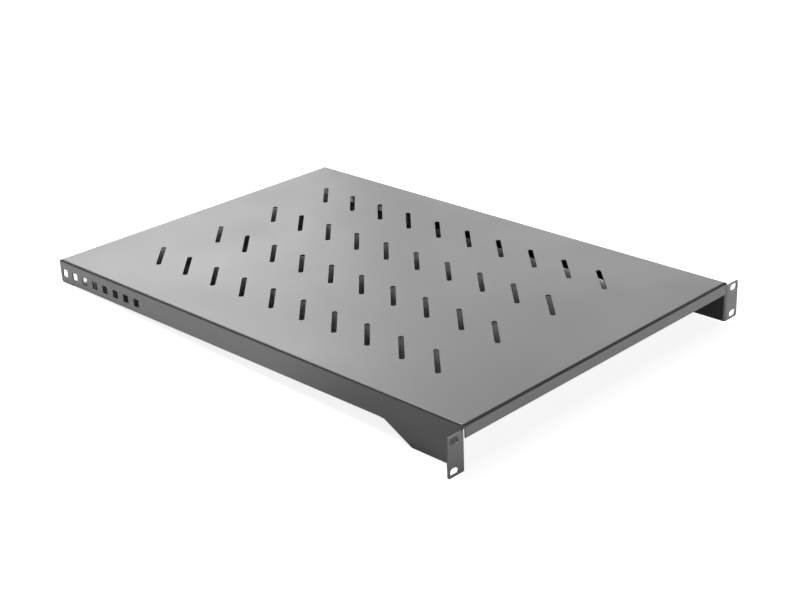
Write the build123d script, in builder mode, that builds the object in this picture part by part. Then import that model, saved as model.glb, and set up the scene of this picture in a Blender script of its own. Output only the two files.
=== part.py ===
"""One-unit rack shelf for 19-inch racks: one steel sheet, cut, slotted and folded.

X runs along the width, +Y points to the back and +Z up. The origin is the centre of the
four ear slots, on the plane where the ears sit against the rack rails.
"""
import os

from build123d import *

# Sheet and bends
sheet = 1.5
bend_inside = 1.5
relief = 1.0

# Rack fixing: a 19-inch panel one unit high, whose ears stand out past the body
rack_width = 482.6
ear_width = 22.3
ear_height = 43.6
ear_corner = 2.0
ear_slot_inset = 8.75
ear_slot_margin = 5.925
ear_slot_length = 12.5
ear_slot_width = 7.5

# Body
body_depth = 650.0
top_above_ear = 4.2
flange_height = 14.0
flange_end_gap = 1.0

# Side outline: low at the back, sloping down to the ears, measured from the front plane
side_height = 28.5
side_corner = 3.0
slope_start = 68.0
slope_end = 105.0

# Lip folded inward under each side
lip_width = 25.0
lip_drop = 1.0
lip_front_setback = 5.0
lip_rear_setback = 25.0

# Diagonal slots in the top
slot_length = 56.0
slot_width = 6.0
slot_angle = 45.0
slot_columns = 4
slot_rows = 10
slot_column_pitch = 90.5
slot_row_pitch = 50.0
slot_first_row = 112.0
slot_pattern_right = 1.8

# Square holes for cage nuts at the back of each side
square_size = 9.5
square_pitch = 20.0
square_count = 8
square_first = 9.0
square_drop = 16.0

# Places that follow from the sizes above
bend_middle = bend_inside + sheet / 2
bend_outside = bend_inside + sheet
half_width = rack_width / 2 - ear_width
side_middle = half_width - sheet / 2
front = -sheet
back = front + body_depth
ear_top = ear_height / 2
ear_bottom = -ear_height / 2
ear_slot_span = rack_width - 2 * ear_slot_inset
ear_slot_rise = ear_height - 2 * ear_slot_margin
top = ear_top + top_above_ear
top_middle = top - sheet / 2
side_bottom = top - side_height
lip_bottom = side_bottom - lip_drop
lip_fold = lip_bottom + bend_outside
lip_front = front + slope_end + lip_front_setback
lip_back = back - lip_rear_setback
ear_fold = front + bend_outside + relief

with BuildPart() as shelf:
    # Right half of the top and the right side, bent down along the edge
    with BuildSketch(Plane.XZ.offset(-back)):
        with BuildLine():
            FilletPolyline(
                (0, top_middle), (side_middle, top_middle), (side_middle, ear_bottom), radius=bend_middle
            )
        trace(line_width=sheet)
    extrude(amount=body_depth)

    # The side is cut back behind the ear: down to the slope, then shallow to the back
    with BuildSketch(Plane.YZ):
        with BuildLine():
            Polyline(
                (front + slope_start, ear_bottom),
                (front + slope_end, side_bottom),
                (back, side_bottom),
                (back, ear_bottom),
                close=True,
            )
        make_face()
    extrude(amount=half_width, mode=Mode.SUBTRACT)
    back_corner = edges().filter_by(Axis.X).group_by(Axis.Y)[-1].sort_by(Axis.Z)[0]
    fillet(back_corner, radius=side_corner)

    # Front and back flanges, bent down between the sides
    with BuildSketch(Plane.XY.offset(top)):
        with Locations((0, front), (0, back)):
            Rectangle(2 * (half_width - sheet), 2 * bend_outside)
    extrude(amount=-bend_outside, mode=Mode.SUBTRACT)
    with BuildSketch(Plane.YZ):
        with BuildLine():
            FilletPolyline(
                (front + sheet / 2, top - flange_height),
                (front + sheet / 2, top_middle),
                (back - sheet / 2, top_middle),
                (back - sheet / 2, top - flange_height),
                radius=bend_middle,
            )
        trace(line_width=sheet)
    extrude(amount=half_width - sheet - flange_end_gap)

    # Ear, bent outward from the front end of the side, with a relief slit over it
    with BuildSketch(Plane.YZ.offset(half_width - sheet)):
        with Locations((front, ear_bottom)):
            Rectangle(ear_fold - front, ear_height + relief, align=(Align.MIN, Align.MIN))
    extrude(amount=sheet, mode=Mode.SUBTRACT)
    with BuildSketch(Plane.XY.offset(ear_bottom)):
        with BuildLine():
            FilletPolyline(
                (side_middle, ear_fold),
                (side_middle, front + sheet / 2),
                (rack_width / 2, front + sheet / 2),
                radius=bend_middle,
            )
        trace(line_width=sheet)
    extrude(amount=ear_height)
    ear_corners = edges().filter_by(Axis.Y).group_by(Axis.X)[-1]
    fillet(ear_corners, radius=ear_corner)

    # Lip, bent inward under the side between two relief slits
    with BuildSketch(Plane.YZ.offset(half_width - sheet)):
        with Locations((lip_front - relief, lip_fold)):
            Rectangle(lip_back - lip_front + 2 * relief, bend_outside, align=(Align.MIN, Align.MAX))
    extrude(amount=sheet, mode=Mode.SUBTRACT)
    with BuildSketch(Plane.XZ.offset(-lip_back)):
        with BuildLine():
            FilletPolyline(
                (side_middle, lip_fold + relief),
                (side_middle, lip_bottom + sheet / 2),
                (half_width - lip_width, lip_bottom + sheet / 2),
                radius=bend_middle,
            )
        trace(line_width=sheet)
    extrude(amount=lip_back - lip_front)

    # Left half
    mirror(about=Plane.YZ)

    # Slots in the top
    slot_middle = front + slot_first_row + slot_row_pitch * (slot_rows - 1) / 2
    with BuildSketch(Plane.XY.offset(top)):
        with Locations((slot_pattern_right, slot_middle)):
            with GridLocations(slot_column_pitch, slot_row_pitch, slot_columns, slot_rows):
                SlotOverall(slot_length, slot_width, rotation=slot_angle)
    extrude(amount=-sheet, mode=Mode.SUBTRACT)

    # Slots in the ears
    with BuildSketch(Plane.XZ):
        with GridLocations(ear_slot_span, ear_slot_rise, 2, 2):
            SlotOverall(ear_slot_length, ear_slot_width)
    extrude(amount=sheet, mode=Mode.SUBTRACT)

    # Square holes in the sides
    with BuildSketch(Plane.YZ):
        for number in range(square_count):
            with Locations((back - square_first - number * square_pitch, top - square_drop)):
                Rectangle(square_size, square_size)
    extrude(amount=half_width, both=True, mode=Mode.SUBTRACT)

shelf.part.label = "shelf"

os.makedirs("parts", exist_ok=True)
export_step(shelf.part, "parts/shelf.step")
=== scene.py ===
"""Looks for the rack shelf: dark powder-coated sheet steel, standing on a pale studio floor.

Everything is in metres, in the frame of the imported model: X along the width, +Y to the
back and +Z up, with the ears' back faces at Y 0.
"""
import math

import bpy
from mathutils import Euler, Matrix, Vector

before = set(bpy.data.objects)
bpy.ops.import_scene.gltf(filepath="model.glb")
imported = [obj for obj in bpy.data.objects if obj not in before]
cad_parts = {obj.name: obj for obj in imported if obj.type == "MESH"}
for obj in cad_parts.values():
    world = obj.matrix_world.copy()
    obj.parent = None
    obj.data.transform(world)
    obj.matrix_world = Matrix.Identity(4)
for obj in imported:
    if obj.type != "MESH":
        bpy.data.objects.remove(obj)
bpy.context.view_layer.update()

white = (1.0, 1.0, 1.0, 1.0)

# Camera, at the photograph's place: its turn is in degrees, its lens and sensor in millimetres
camera_place = (-1.14321, -0.84804, 0.70177)
camera_turn = (66.409, 2.089, -45.954)
camera_lens = 69.044
camera_sensor = 36.0
camera_clip = (0.05, 60.0)

# Floor, under the two places where the shelf touches it, each as its Y and Z: the bottom of the
# shelf's deep front part and the back end of its lips
front_rest = (0.0665, -0.0218)
back_rest = (0.6235, -0.0035)
floor_size = 14.0
floor_colour = (0.88, 0.88, 0.88, 1.0)
floor_roughness = 0.9

# White fill of the floor, left out in two places as painted shade. For the camera it leaves out the
# floor that shows through the slots, which is partly beside the shelf, as a painted shadow, and for the
# gloss it leaves out the floor under the shelf, as painted shade in what the gloss shows: for each, the
# middle and the half size in X and Y, and the soft edge
fill_strength = 0.85
painted_shade_middle = (0.035, 0.37)
painted_shade_half = (0.225, 0.31)
painted_shade_edge = (-0.02, 0.01)
footprint_middle = (0.0, 0.3235)
footprint_half = (0.219, 0.325)
footprint_edge = (-0.01, 0.01)

# The gloss also finds the fill weaker on the floor in front left of the shelf, a painted shadow there:
# the middle of that place, the distances from it over which the fill comes back, and the share that is
# left there
corner_painted_shade_middle = (-0.31, 0.11, -0.02)
corner_painted_shade_reach = (0.06, 0.23)
corner_painted_shade_fill = 0.2

# Backdrop behind the shelf, as its gloss shows it: the direction of its middle, how near to that a
# direction is for the white to begin and to be full, and the elevations over which it fades
backdrop_azimuth = 45.0
backdrop_nearness = (0.4, 0.8)
backdrop_fade = (20.0, 50.0)
backdrop_strength = 1.0

# Lamps, aimed at the middle of the shelf
lamps_aim = (0.0, 0.32, 0.0)

# Powder coat: colour, roughness, and the size and height of its grain and of the sheet's waves
coat_dark = (0.079, 0.080, 0.082, 1.0)
coat_light = (0.091, 0.092, 0.094, 1.0)
coat_roughness = (0.30, 0.36)
coat_specular = 1.0
cloud_scale = 9.0
grain_scale = 1100.0
grain_height = 0.00002
wave_scale = 5.0
wave_height = 0.0008
noise_middle = (0.3, 0.7)


def make_camera():
    data = bpy.data.cameras.new("camera")
    data.lens = camera_lens
    data.sensor_width = camera_sensor
    data.clip_start, data.clip_end = camera_clip
    camera = bpy.data.objects.new("camera", data)
    camera.location = camera_place
    camera.rotation_euler = Euler([math.radians(angle) for angle in camera_turn], "XYZ")
    bpy.context.scene.collection.objects.link(camera)
    bpy.context.scene.camera = camera


def new_material(name):
    material = bpy.data.materials.new(name)
    material.use_nodes = True
    nodes = material.node_tree.nodes
    return material, nodes, material.node_tree.links, nodes["Principled BSDF"]


def noise(nodes, links, place, scale, detail):
    texture = nodes.new("ShaderNodeTexNoise")
    texture.inputs["Scale"].default_value = scale
    texture.inputs["Detail"].default_value = detail
    links.new(place, texture.inputs["Vector"])
    return texture.outputs["Fac"]


def spread(nodes, links, value, low, high):
    """Maps the middle of a noise's range to low ... high."""
    mapped = nodes.new("ShaderNodeMapRange")
    mapped.inputs["From Min"].default_value = noise_middle[0]
    mapped.inputs["From Max"].default_value = noise_middle[1]
    mapped.inputs["To Min"].default_value = low
    mapped.inputs["To Max"].default_value = high
    links.new(value, mapped.inputs["Value"])
    return mapped.outputs["Result"]


def bump(nodes, links, height, distance, normal=None):
    made = nodes.new("ShaderNodeBump")
    made.inputs["Distance"].default_value = distance
    links.new(height, made.inputs["Height"])
    if normal is not None:
        links.new(normal, made.inputs["Normal"])
    return made.outputs["Normal"]


def powder_coat():
    """Satin powder coat: a fine grain, slight clouds in its gloss, and a sheet that isn't quite flat."""
    material, nodes, links, shader = new_material("powder_coat")
    place = nodes.new("ShaderNodeTexCoord").outputs["Object"]

    clouds = noise(nodes, links, place, cloud_scale, 3.0)
    grain = noise(nodes, links, place, grain_scale, 2.0)
    waves = noise(nodes, links, place, wave_scale, 1.0)

    tone = nodes.new("ShaderNodeMix")
    tone.data_type = "RGBA"
    tone.inputs["A"].default_value = coat_dark
    tone.inputs["B"].default_value = coat_light
    links.new(spread(nodes, links, clouds, 0.0, 1.0), tone.inputs["Factor"])
    links.new(tone.outputs["Result"], shader.inputs["Base Color"])

    links.new(spread(nodes, links, clouds, *coat_roughness), shader.inputs["Roughness"])
    shader.inputs["Specular IOR Level"].default_value = coat_specular
    sheet = bump(nodes, links, waves, wave_height)
    links.new(bump(nodes, links, grain, grain_height, sheet), shader.inputs["Normal"])
    return material


def calculate(nodes, links, operation, first, second=None):
    """One step of arithmetic, on numbers or on other nodes' values."""
    step = nodes.new("ShaderNodeMath")
    step.operation = operation
    for place, value in enumerate((first, second)):
        if isinstance(value, (int, float)):
            step.inputs[place].default_value = value
        elif value is not None:
            links.new(value, step.inputs[place])
    return step.outputs["Value"]


def fade(nodes, links, value, span, start, end):
    """A smooth change from start to end while the value crosses the span."""
    mapped = nodes.new("ShaderNodeMapRange")
    mapped.interpolation_type = "SMOOTHSTEP"
    mapped.inputs["From Min"].default_value = span[0]
    mapped.inputs["From Max"].default_value = span[1]
    mapped.inputs["To Min"].default_value = start
    mapped.inputs["To Max"].default_value = end
    links.new(value, mapped.inputs["Value"])
    return mapped.outputs["Result"]


def outside(nodes, links, split, middle, half):
    """How far a place is outside a rectangle on the floor, less than 0 inside it."""
    distances = []
    for axis, centre, reach in zip("XY", middle, half):
        offset = calculate(nodes, links, "SUBTRACT", split.outputs[axis], centre)
        distance = calculate(nodes, links, "ABSOLUTE", offset)
        distances.append(calculate(nodes, links, "SUBTRACT", distance, reach))
    return calculate(nodes, links, "MAXIMUM", *distances)


def ray_kinds(nodes, links):
    """What the camera sees straight, and what it sees mirrored or through glass, each 1 or 0."""
    path = nodes.new("ShaderNodeLightPath")
    mirrored = path.outputs["Is Glossy Ray"]
    through = path.outputs["Is Transmission Ray"]
    return path.outputs["Is Camera Ray"], calculate(nodes, links, "MAXIMUM", mirrored, through)


def floor_mesh():
    """A plane through the shelf's two rests."""
    slope = (back_rest[1] - front_rest[1]) / (back_rest[0] - front_rest[0])
    half = floor_size / 2
    corners = []
    for x, y in ((-half, -half), (half, -half), (half, half), (-half, half)):
        corners.append((x, y, front_rest[1] + slope * (y - front_rest[0])))
    mesh = bpy.data.meshes.new("floor")
    mesh.from_pydata(corners, [], [(0, 1, 2, 3)])
    return mesh


def floor_paper():
    """Pale paper, filled with white for the camera and the gloss, but with painted shade by the shelf."""
    material, nodes, links, shader = new_material("floor_paper")
    shader.inputs["Base Color"].default_value = floor_colour
    shader.inputs["Roughness"].default_value = floor_roughness
    shader.inputs["Emission Color"].default_value = white
    place = nodes.new("ShaderNodeTexCoord").outputs["Object"]
    split = nodes.new("ShaderNodeSeparateXYZ")
    links.new(place, split.inputs["Vector"])

    # Painted shadow: no white fill for the camera on the floor seen through the slots and beside the shelf
    beyond_painted_shade = outside(nodes, links, split, painted_shade_middle, painted_shade_half)
    straight = fade(nodes, links, beyond_painted_shade, painted_shade_edge, 0.0, fill_strength)

    # Painted shade: no white fill for the gloss on the floor under the shelf
    beyond_footprint = outside(nodes, links, split, footprint_middle, footprint_half)
    mirrored = fade(nodes, links, beyond_footprint, footprint_edge, 0.0, fill_strength)
    # Painted shadow: weaker fill for the gloss on the floor in front left of the shelf
    corner = nodes.new("ShaderNodeVectorMath")
    corner.operation = "DISTANCE"
    corner.inputs[1].default_value = corner_painted_shade_middle
    links.new(place, corner.inputs[0])
    weaker = fade(nodes, links, corner.outputs["Value"], corner_painted_shade_reach, corner_painted_shade_fill, 1.0)
    mirrored = calculate(nodes, links, "MULTIPLY", mirrored, weaker)

    camera_ray, other_rays = ray_kinds(nodes, links)
    straight = calculate(nodes, links, "MULTIPLY", straight, camera_ray)
    mirrored = calculate(nodes, links, "MULTIPLY", mirrored, other_rays)
    fill = calculate(nodes, links, "ADD", straight, mirrored)
    links.new(fill, shader.inputs["Emission Strength"])
    return material


def make_floor():
    mesh = floor_mesh()
    mesh.materials.append(floor_paper())
    floor = bpy.data.objects.new("floor", mesh)
    bpy.context.scene.collection.objects.link(floor)


def make_world():
    """Surroundings that give no light of their own: white to the camera, a white backdrop to the gloss."""
    world = bpy.data.worlds.new("studio")
    world.use_nodes = True
    bpy.context.scene.world = world
    nodes = world.node_tree.nodes
    links = world.node_tree.links
    background = nodes["Background"]
    background.inputs["Color"].default_value = white

    split = nodes.new("ShaderNodeSeparateXYZ")
    links.new(nodes.new("ShaderNodeTexCoord").outputs["Generated"], split.inputs["Vector"])
    turn = math.radians(backdrop_azimuth)
    east = calculate(nodes, links, "MULTIPLY", split.outputs["X"], math.cos(turn))
    north = calculate(nodes, links, "MULTIPLY", split.outputs["Y"], math.sin(turn))
    nearness = calculate(nodes, links, "ADD", east, north)
    heights = [math.sin(math.radians(elevation)) for elevation in backdrop_fade]
    middle = fade(nodes, links, nearness, backdrop_nearness, 0.0, backdrop_strength)
    low = fade(nodes, links, split.outputs["Z"], heights, 1.0, 0.0)
    backdrop = calculate(nodes, links, "MULTIPLY", middle, low)
    camera_ray, other_rays = ray_kinds(nodes, links)
    mirrored = calculate(nodes, links, "MULTIPLY", backdrop, other_rays)
    strength = calculate(nodes, links, "MAXIMUM", camera_ray, mirrored)
    links.new(strength, background.inputs["Strength"])


def area_lamp(name, place, aim, size, power):
    data = bpy.data.lights.new(name, "AREA")
    data.shape = "RECTANGLE"
    data.size, data.size_y = size
    data.energy = power
    lamp = bpy.data.objects.new(name, data)
    lamp.location = place
    lamp.rotation_euler = (Vector(aim) - Vector(place)).to_track_quat("-Z", "Y").to_euler()
    bpy.context.scene.collection.objects.link(lamp)


def lamp_from(name, azimuth, elevation, distance, size, power):
    """A lamp aimed at the middle of the shelf, from a direction around it and a height over it."""
    middle = Vector(lamps_aim)
    turn = math.radians(azimuth)
    lift = math.radians(elevation)
    away = Vector((math.cos(turn) * math.cos(lift), math.sin(turn) * math.cos(lift), math.sin(lift)))
    area_lamp(name, middle + distance * away, middle, size, power)


def make_lamps():
    """Soft lamps: angles in degrees, distance and size in metres, power in watts."""
    lamp_from("overhead", 0, 89.9, 2.5, (2.0, 2.0), 8.5)
    lamp_from("back_high", 90, 60, 3.2, (1.9, 1.9), 41.0)
    lamp_from("back_right_high", 60, 52, 3.2, (1.9, 1.9), 12.6)
    lamp_from("back_wide", 61, 30, 3.2, (1.6, 1.2), 10.8)
    lamp_from("back_right", 30, 22, 3.2, (1.4, 1.0), 5.6)
    lamp_from("back_middle", 57, 20, 3.2, (0.9, 0.9), 3.2)
    lamp_from("back_left", 75, 18, 3.2, (1.4, 1.2), 2.7)
    lamp_from("front_low", 260, 12, 3.2, (1.8, 0.9), 21.0)
    area_lamp("left_rear", (-0.6, 1.2, 0.6), (-0.3, 0.5, -0.02), (0.5, 0.5), 0.3)


make_camera()
make_world()
make_lamps()
make_floor()

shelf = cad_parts["shelf"]
shelf.data.materials.clear()
shelf.data.materials.append(powder_coat())

bpy.context.scene.view_settings.view_transform = "Standard"
